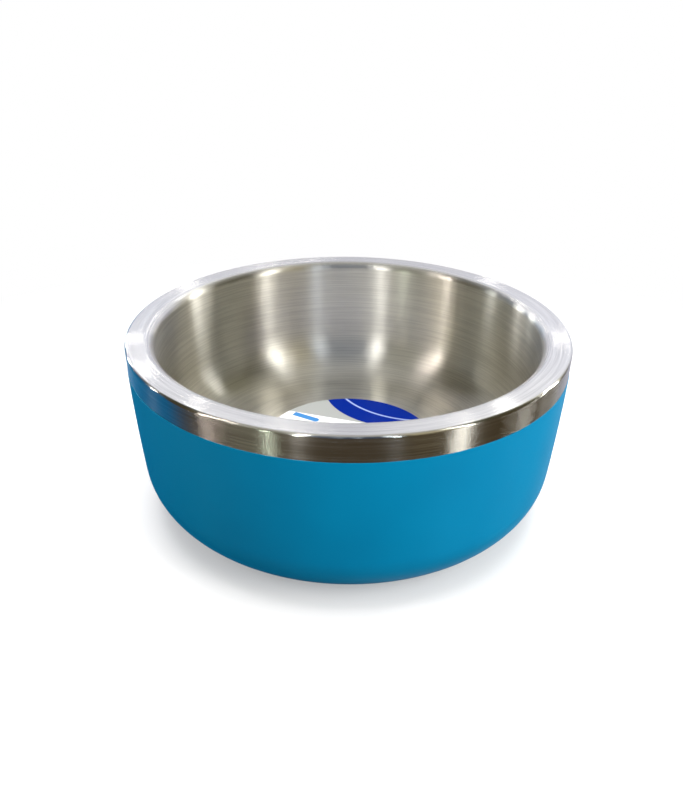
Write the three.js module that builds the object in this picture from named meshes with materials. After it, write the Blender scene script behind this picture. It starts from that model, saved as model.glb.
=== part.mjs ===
// Double-walled steel shaving bowl, in millimetres, +Z up.
// The origin is on the bowl's axis, on the surface that the bowl stands on.
//
// Two pressed shells are welded to each other at the rim, with air between them. The outer shell
// is powder coated below a bare band, and a silicone pad in its base covers a plugged vent hole.

import * as THREE from "three";

// ---- driving dimensions ----

const RIM_RADIUS = 60;
const OVERALL_HEIGHT = 51.2;
const SEGMENTS = 64; // round the axis, for the large pieces
const SMALL_SEGMENTS = 24; // round the axis, for the vent plug
// Chords in each arc of a profile.
const STEPS = { band: 1, wall: 3, corner: 7, linerCorner: 6, rimRound: 4, weld: 4 };

const SHEET = 0.6; // both steel shells
const COAT = 0.15; // powder coat
const BAND_HEIGHT = 6.7; // bare steel between the rim and the coat

// Outer shell: a wall of very large radius that runs into a round corner.
const WALL_TOP_SLOPE = THREE.MathUtils.degToRad(1.1); // from vertical, at the rim
const WALL_RADIUS = 533;
const CORNER_RADIUS = 16.4;
const STAND_OFF = 0.8; // steel base above the ground, because the pad stands proud

// Liner: the inner bowl and the flat rim are one pressing.
const RIM_FLAT_INNER = 55; // where the flat rim starts to turn down into the bowl
const RIM_INNER_ROUND = 2.4;
const BOWL_DEPTH = 37.8;
const LINER_SLOPE = THREE.MathUtils.degToRad(1.8);
const LINER_CORNER = 15;

// Weld round the rim's outer corner, ground flush.
const WELD = 0.8;

// Base of the outer shell: a land, a recess for the pad, and a dimple with the vent hole.
const RECESS_RADIUS = 35.4;
const RECESS_DEPTH = 1.2;
const STEP_RUN = 1.0; // how far a pressed step spreads along the radius
const DIMPLE_RADIUS = 6;
const DIMPLE_DEPTH = 1.2;
const VENT_RADIUS = 1.6;

const PAD_RADIUS = 34.6;
const PAD_CHAMFER = 0.4;
const GRIP_GROOVES = [10, 17, 24, 31]; // middle radius of each
const GROOVE_WIDTH = 1.6; // at the mouth; the bottom is half as wide
const GROOVE_DEPTH = 0.5;
const ADHESIVE = 0.15;

const LABEL_RADIUS = 25.4;
const LABEL = 0.15;
const LABEL_OFFSET = [0.6, 1.4]; // it was stuck down a little off centre

const PLUG_HEAD_RADIUS = 3.5;
const PLUG_HEAD = 0.9;
const PLUG_CHAMFER = 0.4;
const PLUG_SHANK_RADIUS = 1.5;
const PLUG_BARB_RADIUS = 2.1;
const PLUG_BARB_TIP_RADIUS = 1.1;
const PLUG_BARB = 1.1;
const PLUG_PLAY = 0.05; // between the barb and the sheet that it holds

// ---- worked out from them ----

const BASE_Z = STAND_OFF; // underside of the land
const PANEL_Z = BASE_Z + RECESS_DEPTH; // underside of the recess
const DIMPLE_Z = PANEL_Z + DIMPLE_DEPTH; // underside of the dimple
const FLOOR_Z = OVERALL_HEIGHT - BOWL_DEPTH; // upper side of the liner's floor
const COAT_TOP_Z = OVERALL_HEIGHT - BAND_HEIGHT;
const SHELL_TOP_Z = OVERALL_HEIGHT - WELD;

// Directions in the (radius, height) plane.
const STRAIGHT_UP = Math.PI / 2;
const STRAIGHT_DOWN = -Math.PI / 2;

const point = (radius, height) => new THREE.Vector2(radius, height);

/** Points of an arc in the (radius, height) plane, from one angle to another, both included. */
function arc(centre, radius, from, to, steps) {
  return Array.from({ length: steps + 1 }, (_, i) => {
    const a = from + ((to - from) * i) / steps;
    return point(centre.x + radius * Math.cos(a), centre.y + radius * Math.sin(a));
  });
}

// The outer surface is two arcs, the smaller one touching the larger from inside.
const wallCentre = point(
  RIM_RADIUS - WALL_RADIUS * Math.cos(WALL_TOP_SLOPE),
  OVERALL_HEIGHT + WALL_RADIUS * Math.sin(WALL_TOP_SLOPE),
);
const cornerDrop = wallCentre.y - (BASE_Z + CORNER_RADIUS);
const cornerReach = Math.sqrt((WALL_RADIUS - CORNER_RADIUS) ** 2 - cornerDrop ** 2);
const cornerCentre = point(wallCentre.x + cornerReach, BASE_Z + CORNER_RADIUS);
const cornerAngle = Math.atan2(-cornerDrop, cornerReach);

/** The angle round the wall's centre at which the surface, moved out by `offset`, has a height. */
const wallAngle = (offset, height) => Math.asin((height - wallCentre.y) / (WALL_RADIUS + offset));

/** The outer surface moved out by `offset`, from the coat's top edge down to the flat of the base. */
function coatedSurface(offset) {
  const start = wallAngle(offset, COAT_TOP_Z);
  return [
    ...arc(wallCentre, WALL_RADIUS + offset, start, cornerAngle, STEPS.wall),
    ...arc(cornerCentre, CORNER_RADIUS + offset, cornerAngle, STRAIGHT_DOWN, STEPS.corner).slice(1),
  ];
}

/** The same from the shell's own top edge, the bare band first. */
function shellSurface(offset) {
  const [top, bottom] = [wallAngle(offset, SHELL_TOP_Z), wallAngle(offset, COAT_TOP_Z)];
  return [
    ...arc(wallCentre, WALL_RADIUS + offset, top, bottom, STEPS.band).slice(0, -1),
    ...coatedSurface(offset),
  ];
}

/** The liner's surface from the floor up: `offset` is 0 on the wet side and SHEET on the hidden one. */
function linerSurface(offset) {
  const roundCentre = point(RIM_FLAT_INNER, OVERALL_HEIGHT - RIM_INNER_ROUND);
  const cornerHeight = FLOOR_Z + LINER_CORNER;
  // A line square to the wall through the rim round's centre is RIM_INNER_ROUND + LINER_CORNER from
  // the corner's own centre, measured across the wall.
  const across = (RIM_INNER_ROUND + LINER_CORNER) / Math.cos(LINER_SLOPE);
  const along = (roundCentre.y - cornerHeight) * Math.tan(LINER_SLOPE);
  const centre = point(roundCentre.x - across - along, cornerHeight);
  return [
    ...arc(centre, LINER_CORNER + offset, STRAIGHT_DOWN, -LINER_SLOPE, STEPS.linerCorner),
    ...arc(roundCentre, RIM_INNER_ROUND - offset, Math.PI - LINER_SLOPE, STRAIGHT_UP, STEPS.rimRound),
  ];
}

/** A pressed step in a sheet, `run` long and `rise` high, seen on the sheet's lower or upper side. */
function pressedStep(radius, height, rise, upper) {
  const bend = Math.atan2(rise, STEP_RUN);
  const shift = upper ? SHEET * Math.tan(bend / 2) : 0;
  const lift = upper ? SHEET : 0;
  return [
    point(radius + STEP_RUN + shift, height + lift),
    point(radius + shift, height + rise + lift),
  ];
}

/** A closed (radius, height) profile turned about +Z. Profiles run anticlockwise round the metal. */
function turned(profile, segments = SEGMENTS) {
  const closed = [...profile, profile[0].clone()];
  return new THREE.LatheGeometry(closed, segments).rotateX(Math.PI / 2);
}

// ---- the pieces ----

function linerBowl() {
  const flangeEdge = RIM_RADIUS - WELD;
  return turned([
    point(0, FLOOR_Z - SHEET),
    ...linerSurface(SHEET),
    point(flangeEdge, OVERALL_HEIGHT - SHEET),
    point(flangeEdge, OVERALL_HEIGHT),
    ...linerSurface(0).reverse(),
    point(0, FLOOR_Z),
  ]);
}

function outerShell() {
  return turned([
    ...pressedStep(DIMPLE_RADIUS, PANEL_Z, DIMPLE_DEPTH, false).reverse(),
    ...pressedStep(RECESS_RADIUS, BASE_Z, RECESS_DEPTH, false).reverse(),
    ...shellSurface(0).reverse(),
    ...shellSurface(-SHEET),
    ...pressedStep(RECESS_RADIUS, BASE_Z, RECESS_DEPTH, true),
    ...pressedStep(DIMPLE_RADIUS, PANEL_Z, DIMPLE_DEPTH, true),
    point(VENT_RADIUS, DIMPLE_Z + SHEET),
    point(VENT_RADIUS, DIMPLE_Z),
  ]);
}

function rimWeld() {
  const inner = RIM_RADIUS - WELD;
  const shellEdge = shellSurface(0)[0];
  const crown = arc(point(inner, SHELL_TOP_Z), WELD, 0, STRAIGHT_UP, STEPS.weld);
  return turned([point(inner, SHELL_TOP_Z), shellEdge, ...crown.slice(1)]);
}

function powderCoat() {
  const end = RECESS_RADIUS + STEP_RUN; // the coat stops where the recess starts
  return turned([
    point(end, BASE_Z - COAT),
    ...coatedSurface(COAT).reverse(),
    ...coatedSurface(0),
    point(end, BASE_Z),
  ]);
}

function floorLabel() {
  return turned([
    point(0, 0),
    point(LABEL_RADIUS, 0),
    point(LABEL_RADIUS, LABEL),
    point(0, LABEL),
  ]);
}

function ventPlug() {
  const barbZ = DIMPLE_Z + SHEET + PLUG_PLAY;
  return turned(
    [
      point(0, DIMPLE_Z - PLUG_HEAD),
      point(PLUG_HEAD_RADIUS - PLUG_CHAMFER, DIMPLE_Z - PLUG_HEAD),
      point(PLUG_HEAD_RADIUS, DIMPLE_Z - PLUG_HEAD + PLUG_CHAMFER),
      point(PLUG_HEAD_RADIUS, DIMPLE_Z),
      point(PLUG_SHANK_RADIUS, DIMPLE_Z),
      point(PLUG_SHANK_RADIUS, barbZ),
      point(PLUG_BARB_RADIUS, barbZ),
      point(PLUG_BARB_TIP_RADIUS, barbZ + PLUG_BARB),
      point(0, barbZ + PLUG_BARB),
    ],
    SMALL_SEGMENTS,
  );
}

function padAdhesive() {
  const radius = PAD_RADIUS - PAD_CHAMFER;
  return turned([
    point(DIMPLE_RADIUS + STEP_RUN, PANEL_Z - ADHESIVE),
    point(radius, PANEL_Z - ADHESIVE),
    point(radius, PANEL_Z),
    point(DIMPLE_RADIUS + STEP_RUN, PANEL_Z),
  ]);
}

function footPad() {
  const grooves = GRIP_GROOVES.flatMap((r) => [
    point(r - GROOVE_WIDTH / 2, 0),
    point(r - GROOVE_WIDTH / 4, GROOVE_DEPTH),
    point(r + GROOVE_WIDTH / 4, GROOVE_DEPTH),
    point(r + GROOVE_WIDTH / 2, 0),
  ]);
  return turned([
    point(0, 0),
    ...grooves,
    point(PAD_RADIUS - PAD_CHAMFER, 0),
    point(PAD_RADIUS, PAD_CHAMFER),
    point(PAD_RADIUS, PANEL_Z - ADHESIVE),
    point(0, PANEL_Z - ADHESIVE),
  ]);
}

// ---- materials ----

const finish = (color, roughness, metalness) =>
  new THREE.MeshStandardMaterial({ color, roughness, metalness });

const brushedSteel = finish(0xb9b7b0, 0.32, 1);
const blueCoat = finish(0x1287ba, 0.45, 0);
const labelFilm = finish(0xe4e5e8, 0.4, 0);
const darkSilicone = finish(0x2b2e31, 0.75, 0);
const clearAdhesive = finish(0xd9d4c4, 0.6, 0);

// ---- the assembly ----

const bowl = new THREE.Group();

function piece(name, geometry, material, position = [0, 0, 0]) {
  const mesh = new THREE.Mesh(geometry, material);
  mesh.name = name;
  mesh.position.set(...position);
  bowl.add(mesh);
}

piece("liner_bowl", linerBowl(), brushedSteel);
piece("outer_shell", outerShell(), brushedSteel);
piece("rim_weld", rimWeld(), brushedSteel);
piece("powder_coat", powderCoat(), blueCoat);
piece("floor_label", floorLabel(), labelFilm, [...LABEL_OFFSET, FLOOR_Z]);
piece("vent_plug", ventPlug(), darkSilicone);
piece("pad_adhesive", padAdhesive(), clearAdhesive);
piece("foot_pad", footPad(), darkSilicone);

export default bowl;
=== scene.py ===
"""The looks of a double-walled steel shaving bowl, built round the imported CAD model.

Metres, +Z up, origin on the bowl's axis at the surface that it stands on. Every piece is turned about
a vertical axis: an outline in the (radius, height) plane, swept round. An outline runs anticlockwise
round the piece's section and is made of strokes, which are straight lines and arcs.
"""

import math

import bpy
from mathutils import Matrix, Vector


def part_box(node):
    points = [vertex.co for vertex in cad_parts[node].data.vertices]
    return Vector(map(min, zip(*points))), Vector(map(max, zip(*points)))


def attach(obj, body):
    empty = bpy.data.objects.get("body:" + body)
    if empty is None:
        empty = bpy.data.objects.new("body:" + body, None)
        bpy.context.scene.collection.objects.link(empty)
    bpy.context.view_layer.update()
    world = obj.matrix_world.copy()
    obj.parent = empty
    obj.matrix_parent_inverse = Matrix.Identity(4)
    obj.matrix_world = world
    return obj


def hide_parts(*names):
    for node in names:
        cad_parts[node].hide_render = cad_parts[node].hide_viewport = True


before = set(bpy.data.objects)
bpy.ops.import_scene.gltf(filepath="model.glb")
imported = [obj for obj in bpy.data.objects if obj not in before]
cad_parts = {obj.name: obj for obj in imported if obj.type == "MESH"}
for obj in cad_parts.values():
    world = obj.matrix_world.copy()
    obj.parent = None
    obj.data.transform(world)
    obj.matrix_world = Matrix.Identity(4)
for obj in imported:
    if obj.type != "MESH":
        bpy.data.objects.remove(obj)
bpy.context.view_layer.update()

MM = 0.001
UP = math.pi / 2  # directions in the (radius, height) plane
DOWN = -math.pi / 2
TOUCHING = 1e-4 * MM  # points closer than this are one point

# ---- sizes read from the frame ----

RIM_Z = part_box("liner_bowl")[1].z
LINER_UNDER_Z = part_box("liner_bowl")[0].z
FLANGE_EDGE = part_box("liner_bowl")[1].x
WELD_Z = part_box("rim_weld")[0].z
SHELL_TOP_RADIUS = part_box("rim_weld")[1].x
BASE_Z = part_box("outer_shell")[0].z
COAT_TOP_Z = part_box("powder_coat")[1].z
COAT = BASE_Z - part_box("powder_coat")[0].z
PAD_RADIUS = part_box("foot_pad")[1].x
PAD_TOP_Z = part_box("foot_pad")[1].z
PANEL_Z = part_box("pad_adhesive")[1].z
GLUE_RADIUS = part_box("pad_adhesive")[1].x
LABEL_LOW, LABEL_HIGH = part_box("floor_label")
PLUG_LOW, PLUG_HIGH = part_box("vent_plug")

# ---- the CAD model's other driving sizes ----

SHEET = 0.6 * MM
WALL_TOP_SLOPE = math.radians(1.1)
WALL_RADIUS = 533 * MM
CORNER_RADIUS = 16.4 * MM
RIM_FLAT_INNER = 55 * MM
RIM_INNER_ROUND = 2.4 * MM
LINER_SLOPE = math.radians(1.8)
LINER_CORNER = 15 * MM
RECESS_RADIUS = 35.4 * MM
STEP_RUN = 1.0 * MM
DIMPLE_RADIUS = 6 * MM
DIMPLE_DEPTH = 1.2 * MM
VENT_RADIUS = 1.6 * MM
PAD_ROUND = 0.4 * MM
GRIP_GROOVES = [10 * MM, 17 * MM, 24 * MM, 31 * MM]
GROOVE_WIDTH = 1.6 * MM
GROOVE_DEPTH = 0.5 * MM
PLUG_SHANK_RADIUS = 1.5 * MM
PLUG_BARB_RADIUS = 2.1 * MM
PLUG_BARB_TIP_RADIUS = 1.1 * MM
PLUG_BARB = 1.1 * MM
PLUG_ROUND = 0.4 * MM

RIM_RADIUS = FLANGE_EDGE + RIM_Z - WELD_Z
FLOOR_Z = LINER_UNDER_Z + SHEET
DIMPLE_Z = PANEL_Z + DIMPLE_DEPTH
BARB_Z = PLUG_HIGH.z - PLUG_BARB
GLUE_Z = PAD_TOP_Z
PLUG_HEAD_RADIUS = PLUG_HIGH.x
LABEL_RADIUS = (LABEL_HIGH.x - LABEL_LOW.x) / 2
LABEL_CENTRE = ((LABEL_LOW.x + LABEL_HIGH.x) / 2, (LABEL_LOW.y + LABEL_HIGH.y) / 2)

# ---- the fine surface's own sizes ----

SEGMENTS = 288  # round the axis
SMALL_SEGMENTS = 96
ARC_STEP = math.radians(5)  # the most that one facet of an arc turns
WALL_STEPS = 12  # facets of the wall's large arc
BEND = 0.5 * MM  # inside radius of the base's pressed steps
COAT_EDGE_ROUND = 0.1 * MM
FILM_ROUND = 0.05 * MM  # edges of the label and the adhesive
GROOVE_ROUND = 0.15 * MM

# ---- outlines ----


def line(start, end):
    """A straight stroke, as (point, normal) pairs. Normals point right of it, out of the section."""
    run, rise = end[0] - start[0], end[1] - start[1]
    length = math.hypot(run, rise)
    normal = (rise / length, -run / length)
    return [(start, normal), (end, normal)]


def arc(centre, radius, start, end, steps=None):
    """An arc between two angles: round where it runs anticlockwise, hollow where it runs clockwise."""
    steps = steps or max(2, math.ceil(abs(end - start) / ARC_STEP))
    side = 1 if end > start else -1
    stroke = []
    for i in range(steps + 1):
        a = start + (end - start) * i / steps
        c, s = math.cos(a), math.sin(a)
        stroke.append(((centre[0] + radius * c, centre[1] + radius * s), (side * c, side * s)))
    return stroke


def rounded(*corners):
    """Arcs that round the corners of a broken line.

    A corner is (radius, height, radius of its arc). The last is 0 for a sharp corner.
    """
    arcs = [[(corners[0][:2], None)]]
    for before, (r, z, size), after in zip(corners, corners[1:], corners[2:]):
        heading = math.atan2(z - before[1], r - before[0])
        turn = math.atan2(after[1] - z, after[0] - r) - heading
        turn = (turn + math.pi) % (2 * math.pi) - math.pi
        side = math.copysign(1, turn)
        back = size * math.tan(abs(turn) / 2)
        across = heading + side * UP
        centre = (
            r - back * math.cos(heading) + size * math.cos(across),
            z - back * math.sin(heading) + size * math.sin(across),
        )
        first = heading - side * UP
        arcs.append(arc(centre, size, first, first + turn) if size else [((r, z), None)])
    return arcs + [[(corners[-1][:2], None)]]


def outline(*strokes, closed=False):
    """The strokes, with a straight one wherever the next doesn't start where the last ended."""
    whole = []
    for stroke in strokes + (strokes[:1] if closed else ()):
        if whole and math.dist(whole[-1][-1][0], stroke[0][0]) > TOUCHING:
            whole.append(line(whole[-1][-1][0], stroke[0][0]))
        whole.append(stroke)
    whole = whole[:-1] if closed else whole
    return [stroke for stroke in whole if len(stroke) > 1]


def turned(name, strokes, centre=(0.0, 0.0), segments=SEGMENTS):
    """The solid that an outline makes, swept round a vertical axis through centre."""
    turns = [2 * math.pi * i / segments for i in range(segments)]
    turns = [(math.cos(a), math.sin(a)) for a in turns]
    verts, faces, normals = [], [], []

    def ring(point):
        """The vertices of one point swept round: a single vertex on the axis."""
        radius, height = point
        first = len(verts)
        if radius < TOUCHING:
            verts.append((*centre, height))
            return [first] * segments
        verts.extend((centre[0] + radius * c, centre[1] + radius * s, height) for c, s in turns)
        return range(first, first + segments)

    first_point, last_point = strokes[0][0][0], strokes[-1][-1][0]
    closed = math.dist(first_point, last_point) < TOUCHING
    start_ring = low = ring(first_point)
    steps = [(a, b) for stroke in strokes for a, b in zip(stroke, stroke[1:])]
    for number, ((_, n_low), (point, n_high)) in enumerate(steps, 1):
        high = start_ring if closed and number == len(steps) else ring(point)
        for i in range(segments):
            j = (i + 1) % segments
            corners = [(low[i], n_low, i), (low[j], n_low, j)]
            corners += [(high[j], n_high, j), (high[i], n_high, i)]
            if low[i] == low[j]:
                del corners[0]
            elif high[i] == high[j]:
                del corners[3]
            faces.append([vertex for vertex, _, _ in corners])
            for _, n, k in corners:
                normals.append((n[0] * turns[k][0], n[0] * turns[k][1], n[1]))
        low = high

    mesh = bpy.data.meshes.new(name)
    mesh.from_pydata(verts, [], faces)
    mesh.shade_smooth()
    mesh.normals_split_custom_set(normals)
    piece = bpy.data.objects.new(name, mesh)
    bpy.context.scene.collection.objects.link(piece)
    return piece


# ---- the outer surface: a wall of very large radius that runs into a round corner ----

WALL_CENTRE = (
    RIM_RADIUS - WALL_RADIUS * math.cos(WALL_TOP_SLOPE),
    RIM_Z + WALL_RADIUS * math.sin(WALL_TOP_SLOPE),
)
CORNER_DROP = WALL_CENTRE[1] - (BASE_Z + CORNER_RADIUS)
CORNER_REACH = math.sqrt((WALL_RADIUS - CORNER_RADIUS) ** 2 - CORNER_DROP**2)
CORNER_CENTRE = (WALL_CENTRE[0] + CORNER_REACH, BASE_Z + CORNER_RADIUS)
CORNER_TOP = math.atan2(-CORNER_DROP, CORNER_REACH)  # the angle at which the corner becomes wall


def wall_angle(offset, height):
    """The angle round the wall's centre at which the surface, moved out by offset, has a height."""
    return math.asin((height - WALL_CENTRE[1]) / (WALL_RADIUS + offset))


def outside(offset, height):
    """The outer surface moved out by offset, from the flat of the base up to a height."""
    return [
        arc(CORNER_CENTRE, CORNER_RADIUS + offset, DOWN, CORNER_TOP),
        arc(WALL_CENTRE, WALL_RADIUS + offset, CORNER_TOP, wall_angle(offset, height), WALL_STEPS),
    ]


def downwards(strokes):
    """The same strokes run the other way, for the opposite side of a sheet."""
    return [[(p, (-n[0], -n[1])) for p, n in reversed(stroke)] for stroke in reversed(strokes)]


def step_corners(radius, height, rise, upper):
    """A pressed step's two corners, on the sheet's lower or upper side, from inside out."""
    shift = SHEET * math.tan(math.atan2(rise, STEP_RUN) / 2) if upper else 0
    lift = SHEET if upper else 0
    inner, outer = (BEND + SHEET, BEND) if upper else (BEND, BEND + SHEET)
    return [
        (radius + shift, height + rise + lift, inner),
        (radius + STEP_RUN + shift, height + lift, outer),
    ]


# ---- the pieces ----


def liner():
    """The inner bowl and the flat rim."""
    round_centre = (RIM_FLAT_INNER, RIM_Z - RIM_INNER_ROUND)
    corner_z = FLOOR_Z + LINER_CORNER
    across = (RIM_INNER_ROUND + LINER_CORNER) / math.cos(LINER_SLOPE)
    along = (round_centre[1] - corner_z) * math.tan(LINER_SLOPE)
    corner_centre = (round_centre[0] - across - along, corner_z)
    wall = math.pi - LINER_SLOPE
    return turned(
        "liner",
        outline(
            [((0, FLOOR_Z - SHEET), None)],
            arc(corner_centre, LINER_CORNER + SHEET, DOWN, -LINER_SLOPE),
            arc(round_centre, RIM_INNER_ROUND - SHEET, wall, UP),
            [((FLANGE_EDGE, RIM_Z - SHEET), None)],
            [((FLANGE_EDGE, RIM_Z), None)],
            arc(round_centre, RIM_INNER_ROUND, UP, wall),
            arc(corner_centre, LINER_CORNER, -LINER_SLOPE, DOWN),
            [((0, FLOOR_Z), None)],
        ),
    )


def shell():
    """The outer wall and the base, with a recess for the pad and a dimple with the vent hole."""
    steps = ((DIMPLE_RADIUS, PANEL_Z, DIMPLE_DEPTH), (RECESS_RADIUS, BASE_Z, PANEL_Z - BASE_Z))
    below = [corner for step in steps for corner in step_corners(*step, upper=False)]
    above = [corner for step in steps for corner in step_corners(*step, upper=True)]
    base_edge = CORNER_CENTRE[0]
    return turned(
        "shell",
        outline(
            *rounded((VENT_RADIUS, DIMPLE_Z, 0), *below, (base_edge, BASE_Z, 0)),
            *outside(0, WELD_Z),
            *downwards(outside(-SHEET, WELD_Z)),
            *rounded(
                (base_edge, BASE_Z + SHEET, 0), *above[::-1], (VENT_RADIUS, DIMPLE_Z + SHEET, 0)
            ),
            closed=True,
        ),
    )


def weld():
    """The seam round the rim's outer corner, ground to one smooth round."""
    size = SHELL_TOP_RADIUS - FLANGE_EDGE
    return turned(
        "weld",
        outline(
            [((FLANGE_EDGE, WELD_Z), None)],
            [((SHELL_TOP_RADIUS, WELD_Z), None)],
            arc((FLANGE_EDGE, RIM_Z - size), size, wall_angle(0, WELD_Z), UP),
            closed=True,
        ),
    )


def coat():
    """The powder coat, from its masked edge under the bare band to the edge of the recess."""
    lip = wall_angle(COAT, COAT_TOP_Z - COAT_EDGE_ROUND)
    inset = WALL_RADIUS + COAT - COAT_EDGE_ROUND
    lip_centre = (WALL_CENTRE[0] + inset * math.cos(lip), WALL_CENTRE[1] + inset * math.sin(lip))
    bend = math.atan2(PANEL_Z - BASE_Z, STEP_RUN)
    end = RECESS_RADIUS + STEP_RUN + (BEND + SHEET) * math.tan(bend / 2)
    low = BASE_Z - COAT
    return turned(
        "coat",
        outline(
            *rounded((end, BASE_Z, 0), (end, low, FILM_ROUND), (CORNER_CENTRE[0], low, 0)),
            *outside(COAT, COAT_TOP_Z - COAT_EDGE_ROUND),
            arc(lip_centre, COAT_EDGE_ROUND, lip, UP),
            *downwards(outside(0, COAT_TOP_Z)),
            closed=True,
        ),
    )


def label():
    """The round label on the bowl's floor, a little off its middle."""
    low, high = LABEL_LOW.z, LABEL_HIGH.z
    edge = rounded(
        (0, low, 0),
        (LABEL_RADIUS, low, 0),
        (LABEL_RADIUS, high, FILM_ROUND),
        (0, high, 0),
    )
    return turned("label", outline(*edge), LABEL_CENTRE)


def pad():
    """The foot pad, with round grip grooves underneath. A groove's flat takes half its width."""
    lip, flat = GROOVE_WIDTH / 2, GROOVE_WIDTH / 4
    grooves = []
    for middle in GRIP_GROOVES:
        for side, height in ((-lip, 0), (-flat, GROOVE_DEPTH), (flat, GROOVE_DEPTH), (lip, 0)):
            grooves.append((middle + side, height, GROOVE_ROUND))
    edge = rounded(
        (0, 0, 0),
        *grooves,
        (PAD_RADIUS, 0, PAD_ROUND),
        (PAD_RADIUS, PAD_TOP_Z, GROOVE_ROUND),
        (0, PAD_TOP_Z, 0),
    )
    return turned("pad", outline(*edge))


def glue():
    """The ring of double-sided film between the recess and the foot pad."""
    inner = DIMPLE_RADIUS + STEP_RUN
    edge = rounded(
        (inner, PANEL_Z, 0),
        (inner, GLUE_Z, FILM_ROUND),
        (GLUE_RADIUS, GLUE_Z, FILM_ROUND),
        (GLUE_RADIUS, PANEL_Z, 0),
    )
    return turned("glue", outline(*edge, closed=True))


def plug():
    """The plug in the vent hole: a flat head below the sheet, and a barb above it."""
    edge = rounded(
        (0, PLUG_LOW.z, 0),
        (PLUG_HEAD_RADIUS, PLUG_LOW.z, PLUG_ROUND),
        (PLUG_HEAD_RADIUS, DIMPLE_Z, 0),
        (PLUG_SHANK_RADIUS, DIMPLE_Z, 0),
        (PLUG_SHANK_RADIUS, BARB_Z, 0),
        (PLUG_BARB_RADIUS, BARB_Z, FILM_ROUND),
        (PLUG_BARB_TIP_RADIUS, PLUG_HIGH.z, PLUG_ROUND),
        (0, PLUG_HIGH.z, 0),
    )
    return turned("plug", outline(*edge), segments=SMALL_SEGMENTS)


# ---- node trees ----

# the Mix node's sockets, by number, because several share a name
COLOUR_A, COLOUR_B, COLOUR_OUT = 6, 7, 2
VALUE_A, VALUE_B, VALUE_OUT = 2, 3, 0


class Tree:
    """Short calls that add nodes to one node tree."""

    def __init__(self, tree):
        self.nodes, self.links = tree.nodes, tree.links

    def add(self, kind, inputs=None, **settings):
        """A new node. Inputs are values or other nodes' sockets, by the input's name or number."""
        node = self.nodes.new("ShaderNode" + kind)
        for key, value in settings.items():
            setattr(node, key, value)
        for key, value in (inputs or {}).items():
            self.feed(node.inputs[key], value)
        return node

    def feed(self, socket, value):
        """Link another node's socket to this one, or give this one a plain value."""
        if isinstance(value, bpy.types.NodeSocket):
            self.links.new(value, socket)
        else:
            socket.default_value = value

    def math(self, operation, *values):
        """One step of arithmetic on up to three values."""
        return self.add("Math", dict(enumerate(values)), operation=operation).outputs[0]

    def length(self, x, y):
        """How long the vector (x, y) is."""
        squares = self.math("ADD", self.math("MULTIPLY", x, x), self.math("MULTIPLY", y, y))
        return self.math("SQRT", squares)

    def ramp(self, value, start, end, low=0.0, high=1.0):
        """low up to start, high from end on, and a smooth rise between them."""
        inputs = {"Value": value, "From Min": start, "From Max": end, "To Min": low, "To Max": high}
        return self.add("MapRange", inputs, interpolation_type="SMOOTHSTEP").outputs["Result"]

    def mix(self, share, first, second):
        """The first colour where share is 0, and the second where it is 1."""
        inputs = {"Factor": share, COLOUR_A: first, COLOUR_B: second}
        return self.add("Mix", inputs, data_type="RGBA").outputs[COLOUR_OUT]

    def mix_value(self, share, first, second):
        """The first value where share is 0, and the second where it is 1."""
        inputs = {"Factor": share, VALUE_A: first, VALUE_B: second}
        return self.add("Mix", inputs, data_type="FLOAT").outputs[VALUE_OUT]

    def mix_shader(self, share, first, second):
        """The first shader where share is 0, and the second where it is 1."""
        return self.add("MixShader", dict(enumerate((share, first, second)))).outputs[0]

    def noise(self, vector, size=1.0, detail=2.0):
        """Noise from 0 to 1 with features about size across."""
        inputs = {"Vector": vector, "Scale": 1 / size, "Detail": detail}
        return self.add("TexNoise", inputs).outputs[0]

    def bump(self, shader, height, depth):
        """Let the shader's surface rise by depth as height goes from 0 to 1."""
        node = self.add("Bump", {"Strength": 1.0, "Distance": depth, "Height": height})
        self.feed(shader.inputs["Normal"], node.outputs["Normal"])

    def point(self):
        """The shaded point in the object's own frame, in metres."""
        return self.add("TexCoord").outputs["Object"]

    def parts(self, vector):
        """A vector's x, y and z."""
        return tuple(self.add("SeparateXYZ", {"Vector": vector}).outputs)


def rgb(red, green, blue):
    """A colour socket's value: linear red, green and blue, and full alpha."""
    return (red, green, blue, 1.0)


def material(name, **sockets):
    """A new material with plain values on its shader's sockets. Returns it, its tree and its shader."""
    made = bpy.data.materials.new(name)
    made.use_nodes = True
    shader = made.node_tree.nodes["Principled BSDF"]
    for key, value in sockets.items():
        shader.inputs[key.replace("_", " ")].default_value = value
    return made, Tree(made.node_tree), shader


# ---- materials ----

NOISE_LOW = 0.3  # nearly all of a noise lies between these two
NOISE_HIGH = 0.7

STEEL = rgb(0.77, 0.745, 0.665)
STEEL_DARK = rgb(0.66, 0.635, 0.565)
HAIR_LOW = 0.35  # the hairlines' noise at which the steel is darkest and palest
HAIR_HIGH = 0.65
BRUSH_DEPTH = 0.036 * MM
BROAD_SHARE = 0.25  # how much the broad lines count beside the fine ones
RIM_ROUGHNESS = 0.20
WALL_ROUGHNESS = 0.29
HAIR_ROUGHNESS = 0.05  # the most that hairlines add
WALL_EDGE = RIM_FLAT_INNER - 2 * MM  # the radius within which the steel is as rough as the wall
ROUND_THE_AXIS = 0.25  # turns, which lays the highlights across the brushing

COAT_DEEP = rgb(0.001, 0.205, 0.395)
COAT_PALE = rgb(0.001, 0.225, 0.425)
COAT_TINT = rgb(0.15, 0.6, 1.0)
PEEL_DEPTH = 0.005 * MM
GRAIN_SHARE = 0.35  # how much the grain counts beside the orange peel

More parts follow.
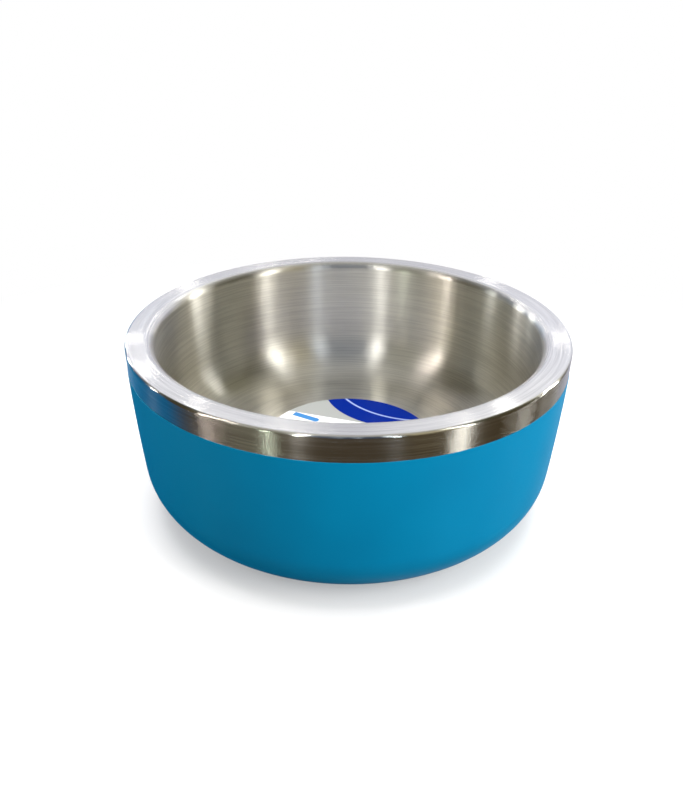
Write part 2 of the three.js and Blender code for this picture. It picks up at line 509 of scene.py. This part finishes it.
# the label's two plain tones: grey on one side of a straight line, white on the other
LABEL_GREY = rgb(0.385, 0.395, 0.38)
LABEL_WHITE = rgb(0.93, 0.93, 0.94)
PRINT_BAR = rgb(0.06, 0.24, 0.55)
PRINT_DISC = rgb(0.0, 0.017, 0.235)
PRINT_RING = rgb(0.30, 0.38, 0.68)
PRINT_EDGE = 0.06 * MM  # half the width over which one printed colour turns into the next
GREY_EDGE = (-9 * MM, 15.2 * MM)  # a point on the straight edge between white and grey
GREY_SLANT = math.radians(-17)
BAR_CENTRE = (-13.4 * MM, 14.5 * MM)
BAR_SLANT = math.radians(-29)
BAR_HALF_LENGTH = 4.0 * MM
BAR_HALF_WIDTH = 1.1 * MM
BAR_END = (
    BAR_CENTRE[0] + BAR_HALF_LENGTH * math.cos(BAR_SLANT),
    BAR_CENTRE[1] + BAR_HALF_LENGTH * math.sin(BAR_SLANT),
)
DISC_CENTRE = (17.7 * MM, 33.4 * MM)
DISC_RADIUS = 25.2 * MM
RING_CENTRE = (23.6 * MM, 40.6 * MM)
RING_RADIUS = 27.8 * MM
RING_HALF_WIDTH = 0.35 * MM
FIBRE_DEPTH = 0.002 * MM

SILICONE_DARK = rgb(0.020, 0.021, 0.024)
SILICONE_PALE = rgb(0.032, 0.034, 0.038)
SILICONE_GRAIN_DEPTH = 0.012 * MM

GLUE_YELLOW = rgb(0.62, 0.56, 0.42)
GLUE_BUBBLE = rgb(0.74, 0.71, 0.62)
BUBBLE_START = 0.62  # the noise at which a bubble starts and at which it is full
BUBBLE_FULL = 0.70
BUBBLE_HEIGHT = 0.015 * MM


def brushed_steel():
    """Steel brushed in circles round the axis: fine grooves, and hairlines in colour and roughness."""
    made, tree, shader = material(
        "brushed_steel", Metallic=1.0, Anisotropic=1.0, Anisotropic_Rotation=ROUND_THE_AXIS
    )
    x, y, z = tree.parts(tree.point())
    radius = tree.length(x, y)
    divisor = tree.math("MAXIMUM", radius, 1 * MM)  # it keeps clear of zero at the axis
    east = tree.math("DIVIDE", x, divisor)
    north = tree.math("DIVIDE", y, divisor)
    along = tree.math("ADD", radius, z)  # it grows all the way from the floor's centre over the rim

    def lines(spacing, length, shift):
        """Noise in lines round the axis, about length long at the rim. The shift sets it apart."""
        turn = RIM_RADIUS / length
        inputs = {
            "X": tree.math("MULTIPLY", east, turn),
            "Y": tree.math("MULTIPLY", north, turn),
            "Z": tree.math("MULTIPLY_ADD", along, 1 / spacing, shift),
        }
        return tree.noise(tree.add("CombineXYZ", inputs).outputs[0])

    fine = lines(spacing=0.3 * MM, length=6 * MM, shift=3.1)
    broad = lines(spacing=1.1 * MM, length=45 * MM, shift=17.7)
    hairs = lines(spacing=0.45 * MM, length=24 * MM, shift=41.3)
    tree.bump(shader, tree.math("MULTIPLY_ADD", broad, BROAD_SHARE, fine), BRUSH_DEPTH)
    colour = tree.mix(tree.ramp(hairs, HAIR_LOW, HAIR_HIGH), STEEL_DARK, STEEL)
    tree.feed(shader.inputs["Base Color"], colour)
    smoothest = tree.ramp(radius, WALL_EDGE, RIM_FLAT_INNER, WALL_ROUGHNESS, RIM_ROUGHNESS)
    added = tree.ramp(hairs, NOISE_LOW, NOISE_HIGH, 0.0, HAIR_ROUGHNESS)
    tree.feed(shader.inputs["Roughness"], tree.math("ADD", smoothest, added))
    tangent = tree.add("Tangent", direction_type="RADIAL", axis="Z")
    tree.feed(shader.inputs["Tangent"], tangent.outputs[0])
    return made


def powder_paint():
    """Satin blue powder coat: a fine orange peel, and slow drifts in its depth of colour."""
    made, tree, shader = material("powder_paint", Specular_IOR_Level=0.12, Specular_Tint=COAT_TINT)
    point = tree.point()
    peel = tree.noise(point, size=0.7 * MM, detail=1.0)
    grain = tree.noise(point, size=0.22 * MM)
    drift = tree.noise(point, size=28 * MM)
    tree.bump(shader, tree.math("MULTIPLY_ADD", grain, GRAIN_SHARE, peel), PEEL_DEPTH)
    roughness = tree.ramp(grain, NOISE_LOW, NOISE_HIGH, low=0.38, high=0.46)
    tree.feed(shader.inputs["Roughness"], roughness)
    colour = tree.mix(tree.ramp(drift, NOISE_LOW, NOISE_HIGH), COAT_DEEP, COAT_PALE)
    tree.feed(shader.inputs["Base Color"], colour)
    return made


def label_print():
    """A film, grey on one side of a straight line and white on the other, with plain printed shapes: a
    blue disc with a pale ring, a bar.
    """
    made, tree, shader = material("label_print", Roughness=0.4, Specular_IOR_Level=0.05)
    point = tree.point()
    x, y, _ = tree.parts(point)

    def offset(centre):
        """The two distances from a centre, along x and along y."""
        return tree.math("SUBTRACT", x, centre[0]), tree.math("SUBTRACT", y, centre[1])

    def distance(centre):
        """The distance from a centre."""
        return tree.length(*offset(centre))

    def turned_offset(centre, angle):
        """The distances from a centre along a direction and across it."""
        across, deep = offset(centre)
        c, s = math.cos(angle), math.sin(angle)
        forth = tree.math("ADD", tree.math("MULTIPLY", across, c), tree.math("MULTIPLY", deep, s))
        aside = tree.math("SUBTRACT", tree.math("MULTIPLY", deep, c), tree.math("MULTIPLY", across, s))
        return forth, aside

    def within(value, limit):
        """1 below the limit and 0 above it, with a printed edge between."""
        return tree.ramp(value, limit - PRINT_EDGE, limit + PRINT_EDGE, low=1.0, high=0.0)

    # grey on one side of a straight line and white on the other
    _, beyond = turned_offset(GREY_EDGE, GREY_SLANT)
    colour = tree.mix(within(beyond, 0.0), LABEL_GREY, LABEL_WHITE)
    forth, aside = turned_offset(BAR_CENTRE, BAR_SLANT)
    in_length = within(tree.math("ABSOLUTE", forth), BAR_HALF_LENGTH)
    in_width = within(tree.math("ABSOLUTE", aside), BAR_HALF_WIDTH)
    round_end = within(distance(BAR_END), BAR_HALF_WIDTH)
    bar = tree.math("MAXIMUM", tree.math("MINIMUM", in_length, in_width), round_end)
    colour = tree.mix(bar, colour, PRINT_BAR)
    colour = tree.mix(within(distance(DISC_CENTRE), DISC_RADIUS), colour, PRINT_DISC)
    off_ring = tree.math("ABSOLUTE", tree.math("SUBTRACT", distance(RING_CENTRE), RING_RADIUS))
    colour = tree.mix(within(off_ring, RING_HALF_WIDTH), colour, PRINT_RING)
    tree.feed(shader.inputs["Base Color"], colour)
    tree.bump(shader, tree.noise(point, size=0.3 * MM), FIBRE_DEPTH)
    return made


def silicone():
    """Dark moulded silicone with a fine matt grain."""
    made, tree, shader = material("silicone", Specular_IOR_Level=0.4)
    point = tree.point()
    cloud = tree.noise(point, size=9 * MM)
    tree.bump(shader, tree.noise(point, size=0.25 * MM, detail=3.0), SILICONE_GRAIN_DEPTH)
    roughness = tree.ramp(cloud, NOISE_LOW, NOISE_HIGH, low=0.62, high=0.76)
    tree.feed(shader.inputs["Roughness"], roughness)
    colour = tree.mix(tree.ramp(cloud, NOISE_LOW, NOISE_HIGH), SILICONE_DARK, SILICONE_PALE)
    tree.feed(shader.inputs["Base Color"], colour)
    return made


def glue_film():
    """Yellowish double-sided film with small air bubbles."""
    made, tree, shader = material("glue_film", Roughness=0.4, Specular_IOR_Level=0.5)
    bubbles = tree.ramp(tree.noise(tree.point(), size=1.2 * MM), BUBBLE_START, BUBBLE_FULL)
    tree.feed(shader.inputs["Base Color"], tree.mix(bubbles, GLUE_YELLOW, GLUE_BUBBLE))
    tree.bump(shader, bubbles, BUBBLE_HEIGHT)
    return made


# ---- the object ----

steel = brushed_steel()
rubber = silicone()

for piece, node, slot, surface in (
    (liner(), "liner_bowl", "brushed_steel", steel),
    (shell(), "outer_shell", "brushed_steel", steel),
    (weld(), "rim_weld", "brushed_steel", steel),
    (coat(), "powder_coat", "blue_coat", powder_paint()),
    (label(), "floor_label", "label_film", label_print()),
    (plug(), "vent_plug", "dark_silicone", rubber),
    (glue(), "pad_adhesive", "clear_adhesive", glue_film()),
    (pad(), "foot_pad", "dark_silicone", rubber),
):
    piece.data.materials.append(surface)
    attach(piece, "root")
    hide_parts(node)

# ---- the room ----

WHITE = rgb(1, 1, 1)
ROOM = 6.0  # half the floor's side
FLOOR_GAP = 0.02 * MM  # it keeps the floor clear of the pad's underside
FLOOR_TONE = rgb(0.66, 0.645, 0.63)
FLOOR_BOUNCE_TONE = rgb(0.16, 0.16, 0.16)
FAR_BOUNCE = 0.65  # the far floor's bounced light, where its look is 1
TARGET = Vector((0, 0, RIM_Z / 2))


def floor():
    """A pale floor. It shows shadows, bounces less light than it shows, and isn't mirrored."""
    mesh = bpy.data.meshes.new("floor")
    corners = ((-ROOM, -ROOM), (ROOM, -ROOM), (ROOM, ROOM), (-ROOM, ROOM))
    mesh.from_pydata([(x, y, -FLOOR_GAP) for x, y in corners], [], [(0, 1, 2, 3)])
    plane = bpy.data.objects.new("floor", mesh)
    bpy.context.scene.collection.objects.link(plane)
    plane.visible_glossy = False
    plane.visible_shadow = False  # the low lamps shine through it
    made, tree, shader = material(
        "floor", Roughness=1.0, Specular_IOR_Level=0.0, Emission_Color=WHITE
    )
    x, y, _ = tree.parts(tree.point())
    away = tree.length(x, y)
    bounced = tree.add("LightPath").outputs["Is Diffuse Ray"]

    # near the bowl: a matt floor with a glow that lightens its shadow
    glow = tree.ramp(away, 40 * MM, 75 * MM, low=0.25, high=0.50)
    bounced_glow = tree.ramp(away, 80 * MM, 190 * MM, low=0.0, high=0.25)
    tree.feed(shader.inputs["Emission Strength"], tree.mix_value(bounced, glow, bounced_glow))
    tree.feed(shader.inputs["Base Color"], tree.mix(bounced, FLOOR_TONE, FLOOR_BOUNCE_TONE))

    # further out: plain white light, which joins the background without a seam
    strength = tree.mix_value(bounced, 1.0, FAR_BOUNCE)
    white = tree.add("Emission", {"Color": WHITE, "Strength": strength}).outputs[0]
    surface = tree.mix_shader(tree.ramp(away, 80 * MM, 220 * MM), shader.outputs[0], white)

    # from below: clear, so that the bowl's underside can be seen
    from_below = tree.add("NewGeometry").outputs["Backfacing"]
    surface = tree.mix_shader(from_below, surface, tree.add("BsdfTransparent").outputs[0])
    tree.feed(made.node_tree.nodes["Material Output"].inputs["Surface"], surface)
    mesh.materials.append(made)


def sky():
    """The room that the steel mirrors. The camera itself sees white.

    It is bright behind the bowl and dim in front, with a few paler walls, a brown table below and
    something blue low at the back, on the left. Azimuths are in degrees: 0 is +X, and -90 is the
    camera's side. Heights are the z part of a direction, from -1 to 1.
    """
    world = bpy.data.worlds.new("room")
    bpy.context.scene.world = world
    world.use_nodes = True
    tree = Tree(world.node_tree)
    x, y, z = tree.parts(tree.add("TexCoord").outputs["Generated"])
    azimuth = tree.math("DEGREES", tree.math("ARCTAN2", y, x))

    def between(low, high, blur):
        """1 from azimuth low to azimuth high and 0 outside, with soft ends."""
        rise = tree.ramp(azimuth, low - blur, low + blur)
        fall = tree.ramp(azimuth, high - blur, high + blur, low=1.0, high=0.0)
        return tree.math("MULTIPLY", rise, fall)

    # the walls in front of the bowl: from azimuth, to azimuth, blur, colour
    upper = rgb(0.055, 0.050, 0.025)
    for low, high, blur, colour in (
        (-60, -32, 3, rgb(0.52, 0.47, 0.32)),
        (-116, -71, 2, rgb(0.04, 0.07, 0.14)),
        (-150, -119, 3, rgb(0.20, 0.20, 0.16)),
        (24, 60, 5, rgb(0.36, 0.34, 0.20)),
    ):
        upper = tree.mix(between(low, high, blur), upper, colour)
    behind = tree.ramp(y, 0.4, 0.8)
    upper = tree.mix(behind, upper, rgb(0.92, 0.95, 1.15))
    beside = tree.math("ADD", between(96, 130, 5), between(50, 84, 5))
    beside = tree.math("MULTIPLY", beside, tree.ramp(z, 0.30, 0.55))
    upper = tree.mix(beside, upper, rgb(1.15, 1.19, 1.38))
    overhead = tree.ramp(z, 0.80, 0.95)
    upper = tree.mix(overhead, upper, rgb(0.60, 0.60, 0.60))

    lower = rgb(0.07, 0.052, 0.030)
    lower = tree.mix(between(-155, -124, 4), lower, rgb(0.14, 0.13, 0.10))
    lower = tree.mix(between(44, 76, 7), lower, rgb(0.55, 0.57, 0.70))
    colour = tree.mix(tree.ramp(z, -0.12, 0.30), lower, upper)

    low_down = tree.ramp(z, 0.10, 0.30, low=1.0, high=0.0)
    blue = tree.mix(tree.ramp(azimuth, 125, 150), rgb(0.01, 0.22, 0.50), rgb(0.0, 0.130, 0.33))
    colour = tree.mix(tree.math("MULTIPLY", between(109, 176, 3), low_down), colour, blue)

    colour = tree.mix(tree.add("LightPath").outputs["Is Camera Ray"], colour, WHITE)
    tree.feed(world.node_tree.nodes["Background"].inputs["Color"], colour)


# ---- the lamps ----

PLAIN = (1.0, 1.0, 1.0)
BLUISH = (0.84, 0.94, 1.12)
GREENISH = (0.88, 1.0, 0.88)
PINKISH = (1.0, 0.92, 0.90)
PINK = (1.0, 0.86, 0.84)

# narrow strips, for the streaks on the steel: azimuth, elevation, width, height, radiance, colour
STRIPS = (
    (22, 16, 0.025, 0.45, 55.0, PLAIN),
    (11, 4, 0.010, 0.30, 50.0, PLAIN),
    (6, -25, 0.015, 0.60, 6.0, PLAIN),
    (-33, 28, 0.025, 0.85, 31.0, PLAIN),
    (-34, -25, 0.05, 0.60, 4.5, PLAIN),
    (-112, 28, 0.015, 0.85, 36.0, PLAIN),
    (-144, 28, 0.02, 0.85, 2.5, PLAIN),
    (168, 14, 0.012, 0.35, 34.0, PLAIN),
    (141, 12, 0.025, 0.25, 38.0, PLAIN),
    (127, 12, 0.015, 0.25, 34.0, PLAIN),
    (-68, 28, 0.018, 0.85, 12.0, BLUISH),
    (-85, 28, 0.010, 0.85, 1.5, BLUISH),
    (-94, 28, 0.010, 0.85, 1.5, BLUISH),
    (-126, 4, 0.010, 0.30, 40.0, GREENISH),
    (-127, -25, 0.010, 0.60, 5.0, GREENISH),
    (-158, 28, 0.022, 0.85, 28.0, PINKISH),
    (-160, -25, 0.012, 0.60, 5.0, PINK),
)

# small windows behind the bowl, for the spokes on the rim: azimuth, elevation, radiance
WINDOW_SIDE = 0.03
WINDOWS = (
    (118, 21, 28.0),
    (115, 29, 16.0),
    (114, 40, 24.0),
    (106, 17, 14.0),
    (96, 29, 8.0),
    (93, 26, 6.0),
    (76, 15, 14.0),
    (68, 46, 20.0),
    (66, 22, 14.0),
    (64, 40, 55.0),
)


def lamp(name, azimuth, elevation, width, height, radiance, colour=PLAIN, mirrored=True):
    """A flat lamp 1 m from the bowl, facing it. Azimuths are as in sky(), and angles in degrees."""
    a, e = math.radians(azimuth), math.radians(elevation)
    towards = Vector((math.cos(e) * math.cos(a), math.cos(e) * math.sin(a), math.sin(e)))
    light = bpy.data.lights.new(name, "AREA")
    light.shape = "RECTANGLE"
    light.size, light.size_y = width, height
    light.energy = radiance * math.pi * width * height  # watts
    light.color = colour
    thing = bpy.data.objects.new(name, light)
    thing.location = TARGET + towards
    thing.rotation_mode = "QUATERNION"
    thing.rotation_quaternion = towards.to_track_quat("Z", "Y")
    thing.visible_camera = False
    thing.visible_glossy = mirrored
    bpy.context.scene.collection.objects.link(thing)


def lamps():
    """The strips and windows, which steel mirrors, and two large soft lamps, which nothing mirrors."""
    for azimuth, elevation, width, height, radiance, colour in STRIPS:
        lamp("strip", azimuth, elevation, width, height, radiance, colour)
    for azimuth, elevation, radiance in WINDOWS:
        lamp("window", azimuth, elevation, WINDOW_SIDE, WINDOW_SIDE, radiance)
    lamp("fill", -20, 15, width=0.8, height=1.0, radiance=4.3, mirrored=False)
    lamp("top_fill", 90, 82, width=0.8, height=0.8, radiance=5.75, mirrored=False)


# ---- the camera ----

CAMERA_DISTANCE = 215.7 * MM  # from the middle of the rim
CAMERA_ELEVATION = math.radians(22.79)
AIM_RIGHT = math.radians(0.44)  # how its aim misses the middle of the rim
AIM_UP = math.radians(-5.56)
CAMERA_ROLL = math.radians(0.71)
SENSOR_WIDTH = 36.0  # the sensor and the lens are in millimetres
FOCAL_LENGTH = 35.07
CLIP_NEAR = 10 * MM
CLIP_FAR = 100.0


def camera():
    """The camera, which looks down into the bowl from the -Y side."""
    data = bpy.data.cameras.new("camera")
    data.sensor_width = SENSOR_WIDTH
    data.lens = FOCAL_LENGTH
    data.clip_start = CLIP_NEAR
    data.clip_end = CLIP_FAR
    data.dof.use_dof = False
    back = Vector((0, -math.cos(CAMERA_ELEVATION), math.sin(CAMERA_ELEVATION)))
    facing = back.to_track_quat("Z", "Y").to_matrix()
    turn = Matrix.Rotation(AIM_RIGHT, 3, "Y") @ Matrix.Rotation(AIM_UP, 3, "X")
    turn = turn @ Matrix.Rotation(CAMERA_ROLL, 3, "Z")
    place = Vector((0, 0, RIM_Z)) + back * CAMERA_DISTANCE
    thing = bpy.data.objects.new("camera", data)
    thing.matrix_world = Matrix.LocRotScale(place, facing @ turn, None)
    bpy.context.scene.collection.objects.link(thing)
    bpy.context.scene.camera = thing


floor()
sky()
lamps()
camera()
bpy.context.scene.view_settings.view_transform = "Standard"
